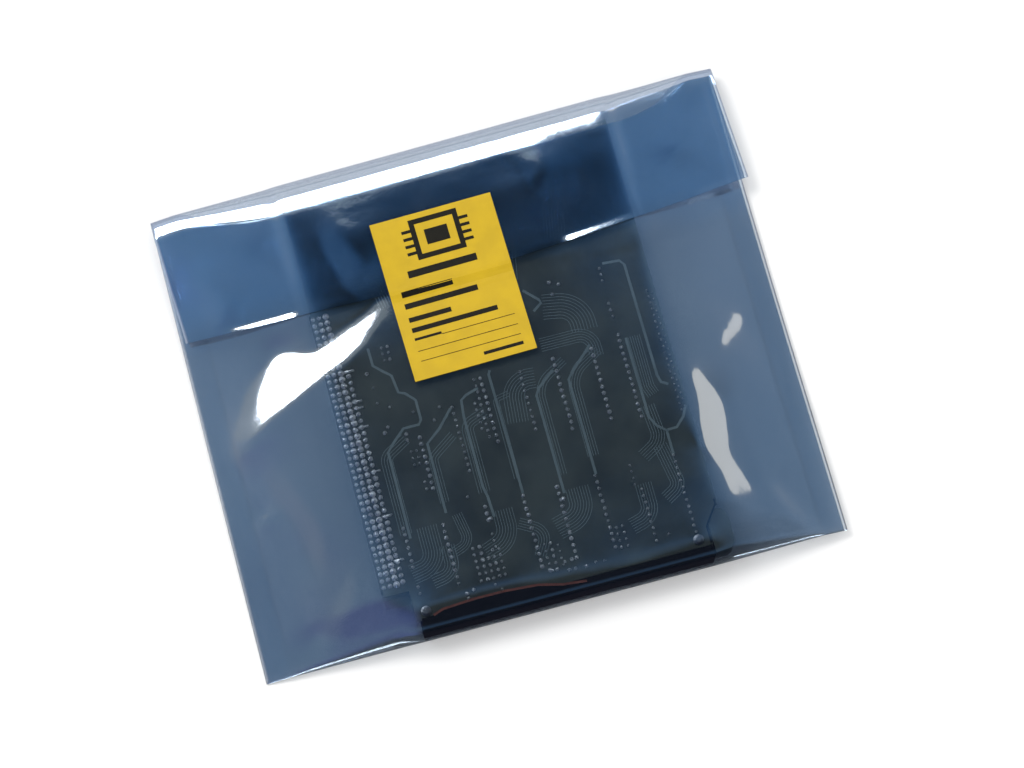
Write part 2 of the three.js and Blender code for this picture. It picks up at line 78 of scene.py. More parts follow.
# Board, read from the frame so that the film stands on it
BOARD_LOW, BOARD_HIGH = (np.array(corner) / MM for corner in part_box("circuit_board"))
BAR_LOW, BAR_HIGH = (np.array(corner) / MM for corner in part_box("front_bar"))
LEVER_HIGH = np.array(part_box("corner_lever")[1]) / MM
BOARD_TOP = BOARD_HIGH[2]
LEAD_LENGTH = 1.1
BOARD_LEFT, BOARD_RIGHT = BOARD_LOW[0], BOARD_HIGH[0]
NOTCH_WIDTH = 9.5
NOTCH_LENGTH = 12.0
BEVEL_WIDTH = 5.5
BEVEL_LENGTH = 7.5
NOTCH_Y = BOARD_LOW[1] + NOTCH_LENGTH
FRONT_TOP = BOARD_TOP + LEAD_LENGTH + CLEARANCE + FILM
SEAL_X = BAG_WIDTH / 2 - SEAL_WIDTH
TOP_Y = BOARD_HIGH[1] + TOP_ROOM
BOTTOM_Y = -TOP_Y
BAG_LENGTH = 2 * TOP_Y
MOUTH_AT_SIDES = TOP_Y - FLAP_LENGTH
PITCH = 2.54

# The photograph's view: a long lens looking down at the bag
LENS_MM = 119.53
SENSOR_MM = 36.0
VIEW_AZIMUTH = math.radians(-14.978)
VIEW_ELEVATION = math.radians(75.0)
VIEW_DISTANCE = 1290.3
VIEW_TARGET = (5.63, -5.0, 0.0)
DARK_OVERHEAD = (0.067, 0.25, 0.966)


def lerp(a, b, t):
    return a + (b - a) * t


def clamp(t):
    return np.clip(t, 0.0, 1.0)


def smooth(t):
    t = clamp(t)
    return t * t * (3 - 2 * t)


# The bag's form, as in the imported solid

def towards_seal(x, left, right, shift=0.0):
    beyond = x > (left + right) / 2
    past = np.where(beyond, x - right, left - x)
    room = np.where(beyond, SEAL_X + shift - right, left + SEAL_X - shift)
    return past, room, clamp(past / room)


def seal_drop(past, room):
    """How far the leaning seal has dropped at a point."""
    return SEAL_LEAN * np.maximum(0.0, past - room)


def support_edges(y):
    left = lerp(BOARD_LEFT + NOTCH_WIDTH, BOARD_LEFT, smooth((y - NOTCH_Y) / NOTCH_LENGTH + 1))
    right = lerp(LEVER_HIGH[0], BOARD_RIGHT, smooth((y - LEVER_HIGH[1]) / BEVEL_LENGTH))
    return left, right


def seal_height(x, y):
    along = (y - BOTTOM_Y) / BAG_LENGTH
    corner = np.where(x < 0, LEFT_CORNER_LIFT, RIGHT_CORNER_LIFT)
    low = lerp(corner, SEAL_LIFT, smooth(along * 2))
    return lerp(low, TOP_CORNER_LIFT, smooth(along * 2 - 1))


def flap_seal_height(x, y):
    edge = np.where(x < 0, FLAP_LIFT_LEFT, FLAP_LIFT_RIGHT)
    return lerp(edge, FLAP_LIFT_AT_ROLL, smooth((y - MOUTH_AT_SIDES) / (TOP_Y - MOUTH_AT_SIDES)))


def tent(past, room, top, end):
    def rounded(u):
        return (u + np.hypot(u, 2 * SHOULDER_RADIUS)) / 2
    return top - (top - end) * rounded(past) / rounded(room)


def top_fold_y(x):
    return TOP_Y + TOP_FOLD_SLOPE * x


def mouth_y(x):
    return MOUTH_AT_SIDES + MOUTH_SLOPE * x - MOUTH_BOW * (1 - (x / SEAL_X) ** 2)


def roll_share(x):
    return smooth(towards_seal(x, BOARD_LEFT, BOARD_RIGHT)[2])


def roll_axis_y(x):
    return top_fold_y(x) - lerp(ROLL_DEPTH, ROLL_DEPTH_AT_SEALS, roll_share(x))


def front_height(x, y):
    left, right = support_edges(y)
    past, room, _ = towards_seal(x, left, right)
    end = seal_height(x, y) + FILM
    z = tent(np.minimum(past, room), room, FRONT_TOP, end)
    return z - seal_drop(past, room) + body_relief(x, y)


def back_height(x, y):
    past, room, share = towards_seal(x, BOARD_LEFT, BOARD_RIGHT)
    return (seal_height(x, y) - FILM) * share ** 2 - seal_drop(past, room)


def flap_under(x, y, shift):
    past, room, _ = towards_seal(x, BOARD_LEFT, BOARD_RIGHT, shift)
    end = flap_seal_height(x, y) - FILM
    z = tent(np.minimum(past, room), room, FRONT_TOP + LAYER_GAP, end)
    return z - seal_drop(past, room) + flap_relief(x, y)


def flap_top(x, y, shift):
    share = towards_seal(x, BOARD_LEFT, BOARD_RIGHT, shift)[2]
    return flap_under(x, y, shift) + 2 * FILM + LAYER_GAP * (1 - share ** 4)


def crease_height(x):
    past, room, share = towards_seal(x, BOARD_LEFT + NOTCH_WIDTH, BOARD_RIGHT - BEVEL_WIDTH)
    return lerp(FOLD_HEIGHT, seal_height(x, BOTTOM_Y), smooth(share)) - seal_drop(past, room)


def heel_depth(x):
    share = towards_seal(x, BOARD_LEFT + NOTCH_WIDTH, BOARD_RIGHT - BEVEL_WIDTH)[2]
    slack = np.where(x < 0, LEFT_HEEL, RIGHT_HEEL)
    return lerp(HEEL, slack, smooth(share * 5) * (1 - share))


FRONT = {"run": front_height, "flap": flap_under, "turn": FRONT_TURN_INSET, "half": LAYER_GAP / 2,
         "swell": 4, "outside": -1}
BACK = {"run": back_height, "flap": flap_top, "turn": 0.0, "half": ROLL_DEPTH, "swell": 1, "outside": 1}


def layer_row(layer, x, stage, t):
    """Points of one station across the bag."""
    start_y = BOTTOM_Y + heel_depth(x)
    turn_y = roll_axis_y(x) + layer["turn"] * (1 - roll_share(x))
    if stage == "heel":
        angle = t * math.pi / 2
        y = lerp(start_y, BOTTOM_Y, math.cos(angle))
        return x, y, lerp(crease_height(x), layer["run"](x, y), math.sin(angle))
    if stage == "run":
        y = lerp(start_y, turn_y, t)
        return x, y, layer["run"](x, y)
    if stage == "roll":
        angle = math.pi * (t - 0.5)
        low = layer["run"](x, turn_y)
        high = layer["flap"](x, turn_y, 0.0)
        end = ROLL_DEPTH_AT_SEALS + layer["outside"] * FILM
        depth = lerp(layer["half"], end, roll_share(x) ** layer["swell"])
        z = (low + high) / 2 + (high - low) / 2 * math.sin(angle)
        return x, turn_y + depth * math.cos(angle), z
    skew = math.sin(2 * math.atan(TOP_FOLD_SLOPE))
    shift = skew * (turn_y - mouth_y(x)) * t
    y = lerp(turn_y, mouth_y(x + shift), t)
    return x + shift, y, layer["flap"](x + shift, y, shift)


# Relief of the film: facets that a hand would leave, worked out from the slopes wanted inside outlines

CELL = 2.0
GRID_X = np.arange(-114.0, 118.1, CELL)
GRID_Y = np.arange(-92.0, 96.1, CELL)


def inside(outline, x, y):
    """Which points lie inside a closed outline."""
    within = np.zeros(x.shape, bool)
    count = len(outline)
    for i in range(count):
        (x0, y0), (x1, y1) = outline[i], outline[(i + 1) % count]
        if y0 == y1:
            continue
        crosses = (y0 > y) != (y1 > y)
        within ^= crosses & (x < x0 + (y - y0) / (y1 - y0) * (x1 - x0))
    return within


def coverage(outline, gx, gy, parts=4):
    """How much of each grid cell an outline covers."""
    total = np.zeros(gx.shape)
    steps = (np.arange(parts) + 0.5) / parts - 0.5
    for dx in steps:
        for dy in steps:
            total += inside(outline, gx + dx * CELL, gy + dy * CELL)
    return total / parts ** 2


def soften(field, times):
    for _ in range(times):
        padded = np.pad(field, 1, mode="edge")
        field = (padded[:-2, 1:-1] + padded[2:, 1:-1] + padded[1:-1, :-2] + padded[1:-1, 2:]
                 + 4 * padded[1:-1, 1:-1]) / 8
    return field


def relief_from_facets(facets, held, lowest, blur=0, rounds=7, sweeps=400):
    """A height over the grid that follows the slopes wanted in each facet.

    It fades to nothing at held places and never falls below the lowest height given there."""
    gx, gy = np.meshgrid(GRID_X, GRID_Y)
    free = ~held(gx, gy)
    bottom = lowest(gx, gy)
    height = np.zeros(gx.shape)
    want_x = np.zeros(gx.shape)
    want_y = np.zeros(gx.shape)
    mask = np.zeros(gx.shape)
    for outline, slope_x, slope_y in facets:
        zone = soften(coverage(outline, gx, gy), blur)
        want_x += zone * slope_x
        want_y += zone * slope_y
        mask = np.maximum(mask, zone)
    drive_x, drive_y = want_x.copy(), want_y.copy()
    for _ in range(rounds):
        source = np.gradient(drive_x, CELL, axis=1) + np.gradient(drive_y, CELL, axis=0)
        for _ in range(sweeps):
            around = np.zeros_like(height)
            around[1:-1, 1:-1] = (height[:-2, 1:-1] + height[2:, 1:-1]
                                  + height[1:-1, :-2] + height[1:-1, 2:]) / 4
            height = np.where(free, np.maximum(around - source * CELL * CELL / 4, bottom), 0.0)
        slope_y, slope_x = np.gradient(height, CELL)
        drive_x += mask * (want_x - slope_x)
        drive_y += mask * (want_y - slope_y)
    return height


def spline_weights(t):
    return ((1 - t) ** 3 / 6, (3 * t ** 3 - 6 * t ** 2 + 4) / 6,
            (-3 * t ** 3 + 3 * t ** 2 + 3 * t + 1) / 6, t ** 3 / 6)


def sample(height, x, y):
    """Smooth reading of a grid height at any place."""
    u = np.clip((x - GRID_X[0]) / CELL, 1, len(GRID_X) - 2.001)
    v = np.clip((y - GRID_Y[0]) / CELL, 1, len(GRID_Y) - 2.001)
    i, j = np.floor(u).astype(int), np.floor(v).astype(int)
    total = 0.0
    for b, wv in enumerate(spline_weights(v - j)):
        for a, wu in enumerate(spline_weights(u - i)):
            row = np.clip(j + b - 1, 0, len(GRID_Y) - 1)
            column = np.clip(i + a - 1, 0, len(GRID_X) - 1)
            total = total + wv * wu * height[row, column]
    return total


# Each facet is an outline and the slopes wanted in it, across and along the bag
BODY_FACETS = [
    # bright fold below the flap at the left, with sharp tips
    ([(-101, -7), (-92, 8), (-83, 23), (-78, 28), (-73, 27), (-66, 22), (-57, 25), (-47, 30), (-32, 38),
      (-38, 28), (-46, 20), (-55, 15), (-68, 10), (-82, 4)], 0.0, -0.15),
    # steep shoulder at the right of the board
    ([(70, -20), (74, -24), (79, -34), (78, -46), (75, -55), (84, -73), (76, -66), (72, -72), (72, -58),
      (67, -50), (70, -38), (72, -30)], -0.2, 0.0),
    ([(84, -13), (86, -13), (98, -3), (95, -3)], -0.16, 0.03),
    ([(-101, -34), (-94, -32.5), (-94, -30.5), (-100, -31.5)], 0.0, -0.16),
    ([(-91, -84), (-88, -84), (-88, -81), (-91, -81)], 0.0, -0.14),
    # dull fold that runs down from the glint at the left
    ([(-95, -15), (-85, -22), (-79, -40), (-79, -56), (-84, -56), (-86, -40), (-92, -26)], 0.1, 0.02),
    ([(-99, -88), (-90, -84), (-78, -70), (-70, -62), (-72, -70), (-82, -86)], 0.08, -0.03),
    # streaks at the right
    ([(69, 30), (71, 31), (77, 43), (74, 42)], -0.08, -0.02),
    ([(84, -66), (92, -70), (105, -92), (98, -92)], -0.1, 0.04),
    # fall towards the front over the bar
    ([(-51, -83.5), (-34, -82.5), (-14, -83), (4, -85), (30, -86), (61, -85), (61, -91), (-51, -91)],
     0.0, 0.19),
    # slack under the flap's edge
    ([(-70, 38), (-38, 36), (-48, 31), (-62, 28)], 0.04, 0.07),
    ([(20, 38), (62, 42), (64, 31), (40, 34)], -0.03, 0.06),
]
FLAP_FACETS = [
    ([(85, 65), (91, 67), (104, 83), (99, 85)], 0.05, -0.22),
    ([(70, 43), (90, 44.5), (112, 49), (112, 52), (92, 50), (76, 46)], 0.03, -0.1),
    # bright panel at the left and the dark ones next to it
    ([(-109, 62), (-98, 60), (-92, 52), (-96, 44), (-109, 43)], 0.14, 0.0),
    ([(-84, 68), (-74, 70), (-58, 50), (-66, 48)], -0.07, 0.01),
    ([(-60, 60), (-46, 70), (-36, 48), (-46, 46)], 0.07, 0.0),
    ([(22, 70), (40, 74), (26, 56)], 0.08, 0.0),
    ([(42, 44), (58, 46), (58, 64), (50, 58)], -0.05, 0.0),
]


# Where the relief ends: at the seals, at the bottom fold and where the roll begins
BODY_HELD_PAST_SEAL = 2
FLAP_HELD_PAST_SEAL = 12
BOTTOM_MARGIN = 4
BODY_RELIEF_END_Y = 74
FLAP_RELIEF_START_Y, FLAP_RELIEF_END_Y = 30, 86
SINK_OVER_BOARD, SINK_BESIDE_BOARD = -0.15, -2.2
FLAP_SINK_SHARE = 0.8
BOARD_MARGIN = 3


def body_held(x, y):
    past_ends = (y < BOTTOM_Y + BOTTOM_MARGIN) | (y > BODY_RELIEF_END_Y)
    return (np.abs(x) > SEAL_X + BODY_HELD_PAST_SEAL) | past_ends


def flap_held(x, y):
    return (np.abs(x) > SEAL_X + FLAP_HELD_PAST_SEAL) | (y > FLAP_RELIEF_END_Y) | (y < FLAP_RELIEF_START_Y)


def body_lowest(x, y):
    """The film can't sink into the board's leads, and stays above the back layer beside it."""
    left, right = support_edges(y)
    over = (x > left - BOARD_MARGIN) & (x < right + BOARD_MARGIN)
    return np.where(over, SINK_OVER_BOARD, SINK_BESIDE_BOARD)


def flap_lowest(x, y):
    return body_lowest(x, y) * FLAP_SINK_SHARE


BODY_RELIEF = relief_from_facets(BODY_FACETS, body_held, body_lowest)
FLAP_RELIEF = relief_from_facets(FLAP_FACETS, flap_held, flap_lowest, blur=3)


def waves(x, y, seed, reach, count=9):
    """A few soft ripples in chosen directions, the same in each run."""
    chance = random.Random(seed)
    total = np.zeros(np.shape(x))
    for _ in range(count):
        angle = chance.uniform(0, math.pi)
        length = chance.uniform(reach * 0.6, reach * 1.6)
        phase = chance.uniform(0, 2 * math.pi)
        total = total + np.sin(2 * math.pi * (x * math.cos(angle) + y * math.sin(angle)) / length + phase)
    return total / count


EDGE_FADE = 6
FOLD_FADE = 14


def over_board(x, y):
    """One over the board and falling to nothing a little outside it."""
    left, right = support_edges(y)
    return smooth((x - left + EDGE_FADE) / EDGE_FADE) * smooth((right + EDGE_FADE - x) / EDGE_FADE)


def body_relief(x, y):
    x, y = np.broadcast_arrays(np.asarray(x, float), np.asarray(y, float))
    near_seal = smooth((SEAL_X + 1 - np.abs(x)) / FOLD_FADE)
    near_fold = smooth((y - BOTTOM_Y) / FOLD_FADE)
    slack = 1 - over_board(x, y)
    ripple = 0.35 * waves(x, y, 3, 46) * slack + 0.06 * (1 + waves(x, y, 5, 30)) * (1 - slack)
    return sample(BODY_RELIEF, x, y) + ripple * near_seal * near_fold


FLAP_SWELL = 0.9


CURL_HEIGHT = 0.32
CURL_DEPTH = 2.2
# First and last x of each stretch, and the lengths over which it starts and ends
CURL_STRETCHES = [(-96, -64, 5, 5), (36, 68, 5, 5), (90, 113, 5, 3)]


def curl(x, y):
    """The flap's free edge turns up a little in three stretches."""
    stretch = sum(smooth((x - start) / rising) * smooth((end - x) / falling)
                  for start, end, rising, falling in CURL_STRETCHES)
    rise = smooth((mouth_y(x) + CURL_DEPTH - y) / CURL_DEPTH)
    return CURL_HEIGHT * stretch * rise


def flap_relief(x, y):
    x, y = np.broadcast_arrays(np.asarray(x, float), np.asarray(y, float))
    beside = 1 - over_board(x, y)
    ripple = 0.3 * waves(x, y, 11, 44) * beside + 0.05 * (1 + waves(x, y, 13, 36)) * (1 - beside)
    lifted = np.where(beside < 0.5, np.maximum(sample(FLAP_RELIEF, x, y), body_relief(x, y)),
                      sample(FLAP_RELIEF, x, y))
    swell = FLAP_SWELL * (1 - beside) * smooth((y - mouth_y(x)) / 30)
    return (lifted + ripple) * smooth((TOP_Y - 4 - y) / 16) + swell + curl(x, y)


# Meshes

def new_piece(name, verts, faces, material, smooth_shade=True):
    """A mesh object from points in millimetres, riding on the one body."""
    mesh = bpy.data.meshes.new(name)
    mesh.from_pydata([tuple(float(c) * MM for c in v) for v in verts], [], faces)
    mesh.update()
    for polygon in mesh.polygons:
        polygon.use_smooth = smooth_shade
    piece = bpy.data.objects.new(name, mesh)
    bpy.context.scene.collection.objects.link(piece)
    mesh.materials.append(material)
    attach(piece, "root")
    return piece


def film_columns():
    flat = np.linspace(-SEAL_X, SEAL_X, 165)
    left = np.linspace(-BAG_WIDTH / 2, -SEAL_X, 7)[:-1]
    right = np.linspace(SEAL_X, BAG_WIDTH / 2, 7)[1:]
    return np.concatenate([left, flat, right])


def film_stations():
    stages = [("heel", 10), ("run", 128), ("roll", 34), ("flap", 44)]
    stations = [(stage, i / count) for stage, count in stages for i in range(count)]
    return stations + [("flap", 1.0)]


def film_piece(material):
    """Front and back layer of one film, joined along the bottom fold and at the seals."""
    columns = film_columns()
    stations = film_stations()
    verts, faces, grids = [], [], {}
    for key, layer in (("front", FRONT), ("back", BACK)):
        rows = []
        for i, (stage, t) in enumerate(stations):
            if key == "back" and i == 0:
                rows.append(grids["front"][0])
                continue
            x, y, z = layer_row(layer, columns, stage, t)
            row = np.stack(np.broadcast_arrays(x, y, z), axis=1)
            rows.append(list(range(len(verts), len(verts) + len(row))))
            verts.extend(row)
        grids[key] = rows
        for i in range(len(rows) - 1):
            a, b = rows[i], rows[i + 1]
            for j in range(len(columns) - 1):
                quad = (a[j], a[j + 1], b[j + 1], b[j])
                faces.append(quad if key == "front" else quad[::-1])
    edge = len(columns) - 1
    for i in range(len(stations) - 1):
        f, b = grids["front"], grids["back"]
        for j in (0, edge):
            side = [f[i][j], f[i + 1][j], b[i + 1][j], b[i][j]]
            side = side if j == 0 else side[::-1]
            faces.append(list(dict.fromkeys(side)))
    return new_piece("film_bag", verts, faces, material)


# Materials

def node_material(name):
    material = bpy.data.materials.new(name)
    material.use_nodes = True
    tree = material.node_tree
    shader = tree.nodes["Principled BSDF"]
    return material, tree, shader


def link(tree, a, b):
    tree.links.new(a, b)


def coords(tree):
    return tree.nodes.new("ShaderNodeTexCoord").outputs["Object"]


def noise(tree, vector, scale, detail=3.0, rough=0.5):
    node = tree.nodes.new("ShaderNodeTexNoise")
    node.inputs["Scale"].default_value = scale
    node.inputs["Detail"].default_value = detail
    node.inputs["Roughness"].default_value = rough
    link(tree, vector, node.inputs["Vector"])
    return node.outputs["Fac"]


def spread(tree, value, low, high):
    node = tree.nodes.new("ShaderNodeMapRange")
    node.inputs["To Min"].default_value = low
    node.inputs["To Max"].default_value = high
    link(tree, value, node.inputs["Value"])
    return node.outputs["Result"]


def axis(tree, vector, name):
    """One coordinate of a vector."""
    split = tree.nodes.new("ShaderNodeSeparateXYZ")
    link(tree, vector, split.inputs[0])
    return split.outputs[name]


def share_between(tree, value, start, end):
    """Nought at the start value and one at the end value."""
    result = spread(tree, value, 0.0, 1.0)
    result.node.inputs["From Min"].default_value = start
    result.node.inputs["From Max"].default_value = end
    return result


def blend_colours(tree, factor, first, second):
    node = tree.nodes.new("ShaderNodeMix")
    node.data_type = "RGBA"
    link(tree, factor, node.inputs["Factor"])
    link(tree, first, node.inputs["A"])
    link(tree, second, node.inputs["B"])
    return node.outputs["Result"]


def ramp(tree, value, stops):
    node = tree.nodes.new("ShaderNodeValToRGB")
    elements = node.color_ramp.elements
    while len(elements) < len(stops):
        elements.new(0.5)
    for element, (place, colour) in zip(elements, stops):
        element.position = place
        element.color = (*colour, 1.0)
    link(tree, value, node.inputs["Fac"])
    return node.outputs["Color"]


def bump(tree, shader, value, strength, distance):
    node = tree.nodes.new("ShaderNodeBump")
    node.inputs["Strength"].default_value = strength
    node.inputs["Distance"].default_value = distance
    link(tree, value, node.inputs["Height"])
    link(tree, node.outputs["Normal"], shader.inputs["Normal"])


def film_material():
    """Metallised film: part of the light is mirrored, and the rest passes with a blue-grey tint."""
    material, tree, shader = node_material("shielding_film")
    where = coords(tree)
    cloud = noise(tree, where, 22.0, 4.0)
    single = ramp(tree, cloud, [(0.3, (0.56, 0.61, 0.68)), (0.7, (0.62, 0.67, 0.73))])
    # Painted reflection: over the flap, where the film lies doubled, its mirror colour is set lighter and
    # bluer, so the flap reflects brighter and bluer than the rest of the film.
    flap_painted_reflection = ramp(tree, cloud, [(0.3, (0.62, 0.73, 0.86)), (0.7, (0.67, 0.78, 0.9))])
    at_flap = share_between(tree, axis(tree, where, "Y"), (MOUTH_AT_SIDES - 8.0) * MM,
                            (MOUTH_AT_SIDES + 6.0) * MM)
    link(tree, blend_colours(tree, at_flap, single, flap_painted_reflection), shader.inputs["Base Color"])
    shader.inputs["Metallic"].default_value = 1.0
    link(tree, spread(tree, noise(tree, where, 60.0, 5.0), 0.04, 0.11), shader.inputs["Roughness"])
    shader.inputs["Coat Weight"].default_value = 0.4
    shader.inputs["Coat Roughness"].default_value = 0.04
    bump(tree, shader, noise(tree, where, 240.0, 3.0), 0.08, 0.0003)
    clear = tree.nodes.new("ShaderNodeBsdfTransparent")
    clear.inputs["Color"].default_value = (0.84, 0.89, 0.93, 1.0)
    mix = tree.nodes.new("ShaderNodeMixShader")
    mix.inputs[0].default_value = 0.5
    link(tree, clear.outputs[0], mix.inputs[1])
    link(tree, shader.outputs[0], mix.inputs[2])
    link(tree, mix.outputs[0], tree.nodes["Material Output"].inputs["Surface"])
    return material


def plain_material(name, colour, roughness, metallic=0.0, vary=0.15, scale=300.0, relief=0.0002, coat=0.0,
                   sheen=0.5):
    material, tree, shader = node_material(name)
    where = coords(tree)
    dark = tuple(c * (1 - vary) for c in colour)
    light = tuple(min(1.0, c * (1 + vary)) for c in colour)
    cloud = noise(tree, where, scale, 4.0)
    link(tree, ramp(tree, cloud, [(0.35, dark), (0.65, light)]), shader.inputs["Base Color"])
    link(tree, spread(tree, cloud, roughness * 0.8, roughness * 1.2), shader.inputs["Roughness"])
    shader.inputs["Metallic"].default_value = metallic
    shader.inputs["Coat Weight"].default_value = coat
    shader.inputs["Specular IOR Level"].default_value = sheen
    bump(tree, shader, noise(tree, where, scale * 3, 3.0), 0.2, relief)
    return material


# Label: a yellow sticker with plain shapes where print would be

LABEL_SIZE = (47.6, 63.5)
LABEL_CENTRE = (-7.2, MOUTH_AT_SIDES - 10.1)
LABEL_TURN = math.radians(1.375)
LABEL_STEP = 4.0
LABEL_THICK = 0.12
PRINT_HEIGHT = 0.04
LABEL_ON_FLAP_Y = 32


def label_spot(u, v, raise_by=0.0):
    """A point on the sticker, from its own width and length coordinates."""
    x = LABEL_CENTRE[0] + u * math.cos(LABEL_TURN) - v * math.sin(LABEL_TURN)
    y = LABEL_CENTRE[1] + u * math.sin(LABEL_TURN) + v * math.cos(LABEL_TURN)
    lower = FRONT_TOP + CLEARANCE
    upper = FRONT_TOP + 2 * LAYER_GAP + 2 * FILM + CLEARANCE
    step = float(smooth((y - mouth_y(x) + CLEARANCE + LABEL_STEP) / LABEL_STEP))
    swell = float(body_relief(x, y)) if y < LABEL_ON_FLAP_Y else float(flap_relief(x, y))
    return x, y, lerp(lower, upper, step) + max(0.0, swell) + raise_by


def label_piece(material):
    """The sticker as a thin closed sheet."""
    across, along = 30, 44
    verts, faces = [], []
    for side in (0.0, LABEL_THICK):
        for i in range(along + 1):
            for j in range(across + 1):
                u = (j / across - 0.5) * LABEL_SIZE[0]
                v = (i / along - 0.5) * LABEL_SIZE[1]
                verts.append(label_spot(u, v, side))
    layer = (across + 1) * (along + 1)

    def at(i, j, side):
        return side * layer + i * (across + 1) + j
    for i in range(along):
        for j in range(across):
            faces.append((at(i, j, 1), at(i, j + 1, 1), at(i + 1, j + 1, 1), at(i + 1, j, 1)))
            faces.append((at(i, j, 0), at(i + 1, j, 0), at(i + 1, j + 1, 0), at(i, j + 1, 0)))
        faces.append((at(i, 0, 0), at(i, 0, 1), at(i + 1, 0, 1), at(i + 1, 0, 0)))
        faces.append((at(i, across, 1), at(i, across, 0), at(i + 1, across, 0), at(i + 1, across, 1)))
    for j in range(across):
        faces.append((at(0, j, 0), at(0, j + 1, 0), at(0, j + 1, 1), at(0, j, 1)))
        faces.append((at(along, j, 1), at(along, j + 1, 1), at(along, j + 1, 0), at(along, j, 0)))
    return new_piece("yellow_label", verts, faces, material, smooth_shade=False)


def print_piece(material):
    """Plain printed shapes: a chip outline with legs, bars and ruled lines, laid on the sticker."""
    black = [(-9.5, 13.5, 9.5, 15.5), (-9.5, 27.5, 9.5, 29.5), (-9.5, 15.5, -7.5, 27.5),
             (7.5, 15.5, 9.5, 27.5), (-4.5, 18.5, 4.5, 24.5)]
    for k in range(4):
        v = 16.0 + 2.9 * k
        black += [(-13.0, v, -9.5, v + 1.2), (9.5, v, 13.0, v + 1.2)]
    black += [(-15.0, 7.6, 12.0, 10.4), (-19.5, 1.0, 0.5, 3.2), (-19.5, -3.6, 9.0, -1.4),
              (-19.5, -9.0, -3.0, -7.1), (-19.5, -13.2, 14.0, -11.3), (-19.5, -16.4, -9.0, -15.4)]
    black += [(-9.0, -16.6, 19.5, -16.35), (-19.5, -20.8, 19.5, -20.55), (-19.5, -24.8, 19.5, -24.55),
              (4.0, -28.9, 19.5, -27.6)]
    verts, faces = [], []
    for u0, v0, u1, v1 in black:
        across = max(1, round((u1 - u0) / 1.5))
        along = max(1, round((v1 - v0) / 1.5))
        base = len(verts)
        for i in range(along + 1):
            for j in range(across + 1):
                u, v = lerp(u0, u1, j / across), lerp(v0, v1, i / along)
                verts.append(label_spot(u, v, LABEL_THICK + PRINT_HEIGHT))
        for i in range(along):
            for j in range(across):
                a = base + i * (across + 1) + j
                faces.append((a, a + 1, a + across + 2, a + across + 1))
    return new_piece("label_print", verts, faces, material, smooth_shade=False)


# Board detail

JOINT_PLAY = 0.12
JOINT_SIDES = 10
TRACK_HEIGHT, FINE_TRACK_HEIGHT, STRIP_HEIGHT = 0.07, 0.05, 0.08
TRACK_WIDTH, FINE_TRACK_WIDTH = 1.0, 0.22
TRACK_SIDE_MARGIN, TRACK_FRONT_MARGIN, TRACK_BACK_MARGIN = 1.5, 2.5, 2.0
ARC_PARTS = 10

# Columns of solder joints: x, highest y, number of joints and size
JOINT_COLUMNS = [
    (-61.3, 35.2, 43, 1.1), (-59.0, 35.2, 43, 1.3), (-56.4, 35.2, 43, 1.55), (-53.8, 10.3, 33, 1.2),
    (-48.7, -51.5, 7, 0.9), (-48.7, -74.5, 2, 0.8), (-34.0, -54.0, 8, 1.0), (-34.0, -74.5, 2, 0.8),
    (-34.0, -19.4, 9, 1.0), (-36.3, -24.0, 3, 0.7), (-38.5, -24.0, 3, 0.7), (-36.3, -36.6, 2, 0.8),
    (-38.6, -16.8, 2, 0.9), (-19.3, -11.3, 11, 0.8), (-17.2, -51.5, 3, 1.0), (-17.2, -62.0, 3, 0.7),
    (-25.7, -65.5, 6, 0.8), (-23.2, -65.5, 6, 1.0), (-20.9, -70.6, 4, 0.8), (-18.7, -68.0, 5, 0.8),
    (-16.4, -68.0, 5, 0.7), (-8.6, -3.0, 10, 0.8), (-6.1, -3.0, 11, 0.95), (-10.6, -12.0, 5, 0.7),
    (-2.4, -51.0, 12, 1.0), (8.8, -4.6, 10, 0.8), (10.7, -51.0, 12, 1.0), (22.2, -2.8, 12, 1.0),
    (25.6, -50.6, 12, 0.9), (37.2, -2.8, 12, 1.0), (41.0, -60.0, 9, 0.75), (39.0, -50.0, 4, 0.6),
    (48.3, 27.0, 3, 0.7), (48.3, 12.6, 3, 0.8), (48.3, 0.0, 14, 0.95), (56.0, -50.4, 13, 0.8),
    (63.5, 14.0, 20, 0.6), (65.0, 12.7, 19, 0.5), (-37.0, 18.0, 3, 0.8), (-39.3, 18.0, 3, 0.7),
    (0.2, -71.0, 4, 0.6), (2.8, -71.0, 5, 0.8), (5.3, -72.5, 4, 0.6), (27.9, -71.6, 4, 0.7),
    (30.3, -71.6, 4, 0.7),
]
# Joints that stand by themselves: x, y and size
SINGLE_JOINTS = [
    (28.5, 26.5, 1.0), (31.8, 25.0, 1.0), (28.5, 21.8, 1.0), (-47.0, 9.5, 0.9), (-46.0, 3.5, 0.7),
    (-44.5, -12.5, 0.8), (-46.0, -14.5, 1.1), (-27.0, -14.3, 0.8), (-24.0, -9.8, 0.7), (-34.0, -9.3, 0.8),
    (-16.3, -56.4, 1.2), (11.8, -56.0, 1.2), (-22.5, -46.0, 0.8), (-32.0, -81.4, 1.0), (-29.3, -80.6, 0.8),
    (-31.7, -83.4, 0.9), (-19.0, -83.2, 0.7), (-21.0, -81.0, 0.6), (0.0, -81.0, 1.1), (2.4, -81.3, 1.0),
    (6.0, -79.2, 0.8), (8.8, -79.0, 0.9), (6.8, -82.6, 0.9), (9.4, -82.6, 0.9), (13.4, -82.8, 1.0),
    (17.0, -82.4, 0.7), (20.4, -82.6, 0.7), (-46.0, -2.6, 0.8), (-41.8, -5.2, 0.8), (46.0, -79.0, 0.6),
]
# Heights along the board of the solder bridges beside the connector
DASH_ROWS = [12.2, 0.0, -2.5, -10.1, -27.8, -45.4, -62.8]

